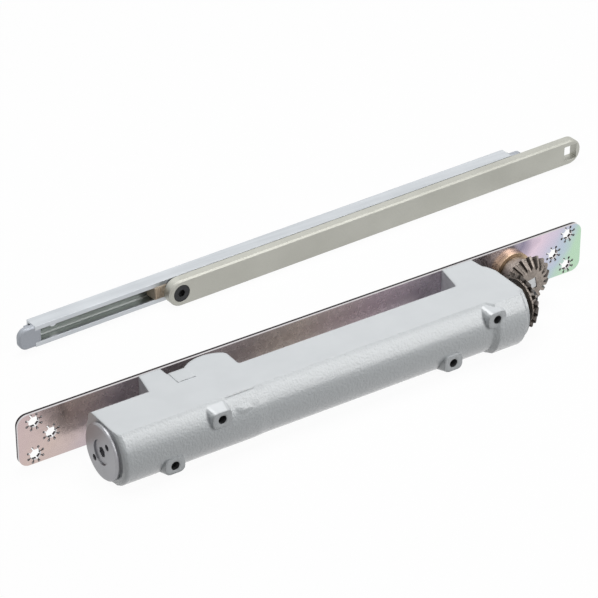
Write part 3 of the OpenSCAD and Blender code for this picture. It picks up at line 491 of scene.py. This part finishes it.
# nodes that aren't named here are machined steel
wearers = {
    "castSilver": ["housing"],
    "zincPlate": ["mounting_plate"],
    "plugZinc": ["end_plug", "adjusting_screw"],
    "shaftGearIron": ["shaft_gear"],
    "spindleGearIron": ["spindle_gear"],
    "bushBronze": [
        "shaft_bush",
        "spindle_bush",
        "thrust_cage",
        "closing_valve",
        "latching_valve",
    ],
    "blackRubber": [
        "end_plug_ring",
        "adjusting_screw_ring",
        "piston_seal",
        "shaft_seal",
        "closing_valve_ring",
        "latching_valve_ring",
    ],
    "blackOxide": ["gear_screw", "pivot_screw"],
    "trackAluminium": ["track"],
    "capPlastic": ["track_end_caps", "arm_bush"],
    "slidePlastic": ["slider"],
    "armPaint": ["arm"],
}
finishOf = {node: finish for finish, group in wearers.items() for node in group}


def wear(obj, finish):
    obj.data.materials.clear()
    obj.data.materials.append(materials[finish])


for name, obj in nodes.items():
    wear(obj, finishOf.get(name, "machinedSteel"))
print("materials assigned")


lugThreads = {
    "radius": 0.00249,
    "ridge": 0.0003,
    "pitch": 0.0008,
    "turns": 5,
    "inset": 0.0002,
    "play": 0.00002,
    "floor": (0.0001, 0.0004),  # the closed end, past the last turn
    "steps": 24,
}


def revolve(name, profile, steps):
    # a ring of quads from [radius, depth] points, its axis along Y, its ends closed on the axis
    form = bmesh.new()
    rings = []
    for radius, depth in profile:
        if radius == 0:
            rings.append([form.verts.new((0, depth, 0))])
            continue
        ring = []
        for k in range(steps):
            turn = 2 * math.pi * k / steps
            ring.append(form.verts.new((radius * math.cos(turn), depth, radius * math.sin(turn))))
        rings.append(ring)
    for first, second in zip(rings, rings[1:]):
        for k in range(steps):
            corners = [first[k % len(first)], first[(k + 1) % len(first)]]
            corners += [second[(k + 1) % len(second)], second[k % len(second)]]
            corners = list(dict.fromkeys(corners))
            if len(corners) > 2:
                form.faces.new(corners)
    bmesh.ops.recalc_face_normals(form, faces=form.faces)
    mesh = bpy.data.meshes.new(name)
    form.to_mesh(mesh)
    form.free()
    return bpy.data.objects.new(name, mesh)


def repeatAlong(name, points, shape, finish, body):
    # Geometry Nodes set one copy of the shape on every point, then the result becomes a plain mesh
    tree = bpy.data.node_groups.new(name, "GeometryNodeTree")
    face = tree.interface
    entries = {"Points": "Geometry", "Shape": "Object", "Finish": "Material"}
    for title, kind in entries.items():
        face.new_socket(title, in_out="INPUT", socket_type="NodeSocket" + kind)
    face.new_socket("Result", in_out="OUTPUT", socket_type="NodeSocketGeometry")
    step = {
        key: tree.nodes.new(kind)
        for key, kind in {
            "enter": "NodeGroupInput",
            "shape": "GeometryNodeObjectInfo",
            "copies": "GeometryNodeInstanceOnPoints",
            "whole": "GeometryNodeRealizeInstances",
            "finish": "GeometryNodeSetMaterial",
            "leave": "NodeGroupOutput",
        }.items()
    }
    for giver, given, taker, taken in (
        ("enter", "Points", "copies", "Points"),
        ("enter", "Shape", "shape", "Object"),
        ("shape", "Geometry", "copies", "Instance"),
        ("copies", "Instances", "whole", "Geometry"),
        ("whole", "Geometry", "finish", "Geometry"),
        ("enter", "Finish", "finish", "Material"),
        ("finish", "Geometry", "leave", "Result"),
    ):
        tree.links.new(step[giver].outputs[given], step[taker].inputs[taken])

    mesh = bpy.data.meshes.new(name + "Points")
    mesh.from_pydata([tuple(point) for point in points], [], [])
    piece = bpy.data.objects.new(name, mesh)
    for obj in (piece, shape):
        bpy.context.scene.collection.objects.link(obj)
    copies = piece.modifiers.new(name, "NODES")
    copies.node_group = tree
    sockets = {item.name: item.identifier for item in face.items_tree if item.in_out == "INPUT"}
    copies[sockets["Shape"]] = shape
    copies[sockets["Finish"]] = materials[finish]
    graph = bpy.context.evaluated_depsgraph_get()
    result = bpy.data.meshes.new_from_object(piece.evaluated_get(graph))
    piece.modifiers.clear()
    piece.data = result
    bpy.data.objects.remove(shape)
    if not result.materials:
        result.materials.append(materials[finish])
    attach(piece, body)
    return piece


def lugHolePlaces():
    places = []
    for mount in frame["record"]["mounts"]:
        if mount["name"].startswith("lug_holes"):
            x, y, z = mount["pos_m"]
            reach = mount["dims"]["spacing_x_mm"] / 2000
            places += [(x - reach, y, z), (x + reach, y, z)]
    return places


def makeLugThreads(values):
    radius, inner = values["radius"], values["radius"] - values["ridge"]
    depth = values["inset"]
    profile = [(radius, depth)]
    for turn in range(values["turns"]):
        crest = depth + values["pitch"] * (turn + 0.5)
        root = depth + values["pitch"] * (turn + 1)
        profile += [(inner, crest), (radius - values["play"], root)]
    near, far = (depth + values["pitch"] * values["turns"] + d for d in values["floor"])
    profile += [(inner, near), (0, near), (0, far), (radius, far), (radius, depth)]
    shape = revolve("lugThread", profile, values["steps"])
    return repeatAlong("lugThreads", lugHolePlaces(), shape, "paintedThreadShade", "closer")


makeLugThreads(lugThreads)
print("lug threads made")


sliderRibs = {
    "count": 4,
    "gap": 0.0012,
    "size": (0.0005, 0.0005, 0.0064),
    "from": -0.0126,  # first rib's middle, from the pivot along the track
    "depth": 0.0079,  # from the arm's front face
    "edge": 0.00015,
}


def makeSliderRibs(values):
    along, deep = armSetDirection()
    form = bmesh.new()
    bmesh.ops.create_cube(form, size=1)
    for corner in form.verts:
        corner.co = Vector([part * side for part, side in zip(corner.co, values["size"])])
    bmesh.ops.bevel(form, geom=form.edges[:], offset=values["edge"], segments=2, affect="EDGES")
    form.transform(Matrix.Rotation(math.radians(armSet["turn"]), 4, "Z"))
    mesh = bpy.data.meshes.new("sliderRib")
    form.to_mesh(mesh)
    form.free()
    low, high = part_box("slider")
    pivot = Vector((*armSet["place"], (low[2] + high[2]) / 2))
    steps = [values["from"] + values["gap"] * k for k in range(values["count"])]
    middle = pivot + deep * values["depth"]
    points = [middle + along * sign * step for step in steps for sign in (1, -1)]
    shape = bpy.data.objects.new("sliderRib", mesh)
    return repeatAlong("sliderRibs", points, shape, "slidePlastic", "slider")


makeSliderRibs(sliderRibs)
print("slider ribs made")


# small marks of the casting on the round nose: a blister and a short ledge beside the upper
# left lug; lengths run along the nose, angles and spreads are degrees round it
castMarks = {
    "axis": (-0.0325, 0.0),  # y and z of the nose's axis
    "columns": 24,
    "rows": 10,
    "castFrom": 0.05,  # how far out the skin is looked for
    "sunk": 0.00006,
    "root": 0.0005,
    "crossFlat": 0.2,
    "marks": {
        "castBlister": {
            "middle": -0.2095,
            "length": 0.013,
            "angle": 27,
            "spread": 9.0,
            "height": 0.0006,
            "flat": 0.0,
        },
        "castLedge": {
            "middle": -0.2085,
            "length": 0.020,
            "angle": 52.5,
            "spread": 2.2,
            "height": 0.00045,
            "flat": 0.7,
        },
    },
}


def swell(t, flat):
    # one in the middle, none at the ends
    t = (abs(t) - flat) / (1 - flat)
    return 1.0 if t <= 0 else 0.5 + 0.5 * math.cos(math.pi * min(t, 1.0))


def makeCastMark(name, shared, values, skin):
    columns, rows = shared["columns"], shared["rows"]
    axisY, axisZ = shared["axis"]
    form = bmesh.new()
    sheets = []
    for top in (True, False):
        sheet = []
        for i in range(columns + 1):
            u = 2 * i / columns - 1
            line = []
            for j in range(rows + 1):
                v = 2 * j / rows - 1
                x = values["middle"] + u * values["length"] / 2
                turn = math.radians(values["angle"] + v * values["spread"])
                out = Vector((0, -math.cos(turn), math.sin(turn)))
                start = Vector((x, axisY, axisZ)) + out * shared["castFrom"]
                hit = skin.ray_cast(start, -out)[0]
                rise = -shared["root"]
                if top:
                    rise = swell(u, values["flat"]) * swell(v, shared["crossFlat"])
                    rise = values["height"] * rise - shared["sunk"]
                line.append(form.verts.new(hit + out * rise))
            sheet.append(line)
        sheets.append(sheet)
    top, bottom = sheets
    for sheet in sheets:
        for i in range(columns):
            for j in range(rows):
                near, far = sheet[i], sheet[i + 1]
                form.faces.new((near[j], far[j], far[j + 1], near[j + 1]))
    rim = [(i, 0) for i in range(columns)] + [(columns, j) for j in range(rows)]
    rim += [(i, rows) for i in range(columns, 0, -1)] + [(0, j) for j in range(rows, 0, -1)]
    for (a, b), (c, d) in zip(rim, rim[1:] + rim[:1]):
        form.faces.new((top[a][b], top[c][d], bottom[c][d], bottom[a][b]))
    bmesh.ops.recalc_face_normals(form, faces=form.faces)
    mesh = bpy.data.meshes.new(name)
    form.to_mesh(mesh)
    form.free()
    for face in mesh.polygons:
        face.use_smooth = True
    mesh.materials.append(materials["castMark"])
    mark = bpy.data.objects.new(name, mesh)
    bpy.context.scene.collection.objects.link(mark)
    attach(mark, "closer")
    return mark


housingSkin = BVHTree.FromObject(nodes["housing"], bpy.context.evaluated_depsgraph_get())
for name, values in castMarks["marks"].items():
    makeCastMark(name, castMarks, values, housingSkin)
print("casting marks made")


studio = {
    "floorDrop": 0.0002,  # below the lowest point
    "floorSize": 6.0,
    "floorColour": 1.0,
    "bounceColour": 0.18,  # what the floor sends back on to the piece
    "whiteShare": 0.95,
    "worldLevel": 0.12,
    "worldColour": (0.95, 0.97, 1),
    "lamps": {
        "topLamp": {"place": (-0.1, 0.3, 1.5), "size": (1.4, 0.9), "power": 16.4},
        "frontLamp": {"place": (0.62, -1.1, 0.80), "size": (0.6, 1.4), "power": 8.5},
    },
}


def raySwitch(tree):
    # 1 for rays from the camera and for rays sent on by gloss or glass, else 0
    path = tree.nodes.new("ShaderNodeLightPath")
    total = path.outputs["Is Camera Ray"]
    for kind in ("Is Glossy Ray", "Is Transmission Ray"):
        total = addMath(tree, "MAXIMUM", total, path.outputs[kind])
    return total


def makeFloor(values):
    half = values["floorSize"] / 2
    level = cadBox[0][2] - values["floorDrop"]
    corners = [(x * half, y * half, level) for x, y in ((-1, -1), (1, -1), (1, 1), (-1, 1))]
    mesh = bpy.data.meshes.new("paleFloor")
    mesh.from_pydata(corners, [], [(0, 1, 2, 3)])
    floor = bpy.data.objects.new("paleFloor", mesh)
    bpy.context.scene.collection.objects.link(floor)
    mat, tree, shader, _ = newMaterial("paleFloor")
    shader.inputs["Roughness"].default_value = 0.9
    seen = raySwitch(tree)
    grey = [(0.0, (values["bounceColour"],) * 3), (1.0, (values["floorColour"],) * 3)]
    tree.links.new(addRamp(tree, seen, grey), shader.inputs["Base Color"])
    glow = tree.nodes.new("ShaderNodeEmission")
    glow.inputs["Color"].default_value = (1, 1, 1, 1)
    glow.inputs["Strength"].default_value = 1.0
    mix = tree.nodes.new("ShaderNodeMixShader")
    tree.links.new(addMath(tree, "MULTIPLY", seen, values["whiteShare"]), mix.inputs[0])
    tree.links.new(shader.outputs[0], mix.inputs[1])
    tree.links.new(glow.outputs[0], mix.inputs[2])
    tree.links.new(mix.outputs[0], tree.nodes["Material Output"].inputs["Surface"])
    mesh.materials.append(mat)


def makeWorld(values):
    world = bpy.data.worlds.new("studioWorld")
    bpy.context.scene.world = world
    world.use_nodes = True
    tree = world.node_tree
    plain = tree.nodes["Background"]
    plain.inputs["Color"].default_value = (*values["worldColour"], 1)
    plain.inputs["Strength"].default_value = values["worldLevel"]
    white = tree.nodes.new("ShaderNodeBackground")
    white.inputs["Color"].default_value = (1, 1, 1, 1)
    mix = tree.nodes.new("ShaderNodeMixShader")
    tree.links.new(raySwitch(tree), mix.inputs[0])
    tree.links.new(plain.outputs[0], mix.inputs[1])
    tree.links.new(white.outputs[0], mix.inputs[2])
    tree.links.new(mix.outputs[0], tree.nodes["World Output"].inputs["Surface"])


def makeLamp(name, values, target):
    place = Vector(values["place"])
    data = bpy.data.lights.new(name, "AREA")
    data.shape = "RECTANGLE"
    data.size, data.size_y = values["size"]
    data.energy = values["power"]
    lamp = bpy.data.objects.new(name, data)
    bpy.context.scene.collection.objects.link(lamp)
    lamp.location = place
    lamp.rotation_euler = (target - place).to_track_quat("-Z", "Y").to_euler()


makeFloor(studio)
makeWorld(studio)
centre = Vector([(a + b) / 2 for a, b in zip(*cadBox)])
for name, values in studio["lamps"].items():
    makeLamp(name, values, centre)
print("stage and lamps made")

bpy.context.scene.view_settings.view_transform = "Standard"
